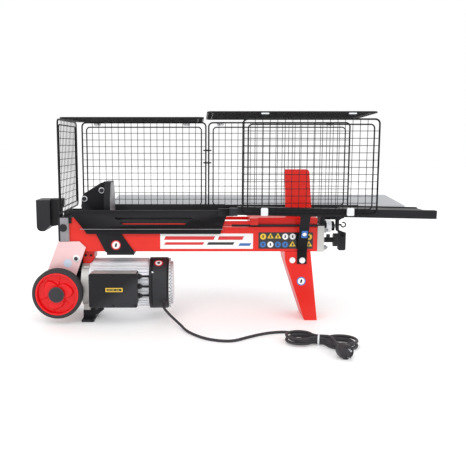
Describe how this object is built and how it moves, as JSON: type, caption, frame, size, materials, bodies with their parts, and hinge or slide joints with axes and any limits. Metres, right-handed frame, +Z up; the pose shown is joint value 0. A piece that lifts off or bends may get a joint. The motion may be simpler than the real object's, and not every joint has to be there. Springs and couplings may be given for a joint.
{
  "type": "electric log splitter",
  "caption": "Horizontal electric hydraulic log splitter: box beam on wheels and a leg, sliding pusher, wedge, side tables and a hinged wire guard cage.",
  "frame": {"origin": "centre of the machine's bounding box in plan, on the floor, measured without the mains lead", "axes": "+X along the beam from the pump to the wedge, +Y from the loading side to the rear table, +Z up"},
  "size_m": [1.173, 0.8432, 0.6207],
  "materials": {
    "red_paint": "gloss powder coat",
    "black_paint": "satin powder coat",
    "pusher_paint": "satin paint",
    "wire_coat": "black coated wire",
    "cast_alloy": "as cast",
    "motor_alloy": "extruded, satin",
    "steel": "zinc plated",
    "machined_steel": "machined",
    "chrome_rod": "hard chrome",
    "galvanised": "galvanised sheet",
    "black_plastic": "moulded, fine texture",
    "grey_plastic": "moulded, fine texture",
    "white_plastic": "translucent pale plastic",
    "red_plastic": "moulded",
    "green_plastic": "moulded",
    "tyre_rubber": "moulded rubber",
    "cable_rubber": "matt rubber sheath"
  },
  "bodies": {
    "frame": {"main_beam": "red_paint", "left_end_cap": "cast_alloy", "right_end_cap": "cast_alloy", "cylinder_barrel": "machined_steel", "cylinder_gland": "machined_steel", "tie_rods": "steel", "wedge": "red_paint", "wedge_base": "red_paint", "wing_near": "black_paint", "wing_far": "black_paint", "frame_bolts": "steel", "wheel_brackets": "red_paint", "wheel_axle": "steel", "support_leg": "red_paint", "rail_strap": "black_paint", "table_rail": "black_paint", "rail_bracket": "black_paint", "rear_table": "galvanised", "table_arms": "black_paint", "guard_brackets": "black_paint", "end_panel": "wire_coat", "rear_left_panel": "wire_coat", "rear_right_panel": "wire_coat", "panel_clips": "white_plastic", "motor_barrel": "motor_alloy", "motor_flange": "cast_alloy", "terminal_box": "grey_plastic", "fan_cowl": "black_plastic", "fan_grille": "white_plastic", "pump_body": "cast_alloy", "motor_foot": "black_plastic", "switch_box": "grey_plastic", "valve_block": "cast_alloy", "cord_relief": "cable_rubber", "cord_lead": "cable_rubber", "cord_hank": "cable_rubber", "cord_plug": "cable_rubber"},
    "pusher": {"pusher_head": "pusher_paint", "pusher_block": "cast_alloy", "pusher_bolts": "steel", "guide_plates": "pusher_paint", "retainer_plate": "pusher_paint", "slide_bar": "machined_steel", "crosshead": "machined_steel", "piston_rod": "chrome_rod"},
    "near_wheel": {"tyre_near": "tyre_rubber", "rim_near": "red_plastic"},
    "far_wheel": {"tyre_far": "tyre_rubber", "rim_far": "red_plastic"},
    "lever": {"control_lever": "black_paint", "lever_grip": "black_plastic"},
    "spool": {"valve_spool": "chrome_rod"},
    "start": {"start_button": "green_plastic"},
    "front_guard": {"front_panel": "wire_coat"},
    "left_lid": {"top_left_panel": "wire_coat"},
    "right_lid": {"top_right_panel": "wire_coat"},
    "rotor": {"motor_rotor": "machined_steel", "cooling_fan": "black_plastic"},
    "idler": {"driven_gear": "machined_steel"},
    "bleed": {"bleed_screw": "black_plastic"}
  },
  "joints": [
    {"name": "pusher_slide", "type": "slide", "parent": "frame", "child": "pusher", "axis": [1, 0, 0], "range_m": [0, 0.33]},
    {"name": "near_wheel_spin", "type": "hinge", "parent": "frame", "child": "near_wheel", "pos_m": [-0.5125, -0.23, 0.0925], "axis": [0, 1, 0], "continuous": true},
    {"name": "far_wheel_spin", "type": "hinge", "parent": "frame", "child": "far_wheel", "pos_m": [-0.5125, -0.046, 0.0925], "axis": [0, 1, 0], "continuous": true},
    {"name": "lever_swing", "type": "hinge", "parent": "frame", "child": "lever", "pos_m": [0.327, -0.138, 0.305], "axis": [0, -1, 0], "range_deg": [0, 20], "stiffness_Nm_per_rad": 0.6, "springref_deg": -5.73},
    {"name": "spool_shift", "type": "slide", "parent": "frame", "child": "spool", "axis": [1, 0, 0], "range_m": [0, 0.0075]},
    {"name": "start_press", "type": "slide", "parent": "frame", "child": "start", "axis": [1, 0, 0], "range_m": [0, 0.004], "stiffness_N_per_m": 400, "springref_m": -0.002},
    {"name": "front_guard_swing", "type": "hinge", "parent": "frame", "child": "front_guard", "pos_m": [0, -0.261, 0.3295], "axis": [1, 0, 0], "range_deg": [0, 100]},
    {"name": "left_lid_lift", "type": "hinge", "parent": "frame", "child": "left_lid", "pos_m": [0, 0.022, 0.602], "axis": [-1, 0, 0], "range_deg": [0, 100]},
    {"name": "right_lid_lift", "type": "hinge", "parent": "frame", "child": "right_lid", "pos_m": [0, 0.029, 0.61], "axis": [-1, 0, 0], "range_deg": [0, 100]},
    {"name": "rotor_spin", "type": "hinge", "parent": "frame", "child": "rotor", "pos_m": [0, -0.138, 0.106], "axis": [1, 0, 0], "continuous": true},
    {"name": "driven_gear_spin", "type": "hinge", "parent": "frame", "child": "idler", "pos_m": [0, -0.138, 0.142], "axis": [1, 0, 0], "continuous": true},
    {"name": "bleed_turn", "type": "hinge", "parent": "frame", "child": "bleed", "pos_m": [0.3, -0.138, 0.239], "axis": [1, 0, 0], "range_deg": [0, 720]}
  ],
  "couplings": [
    {"joint": "spool_shift", "follows": "lever_swing", "m_per_rad": 0.02},
    {"joint": "driven_gear_spin", "follows": "rotor_spin", "ratio": -1}
  ]
}
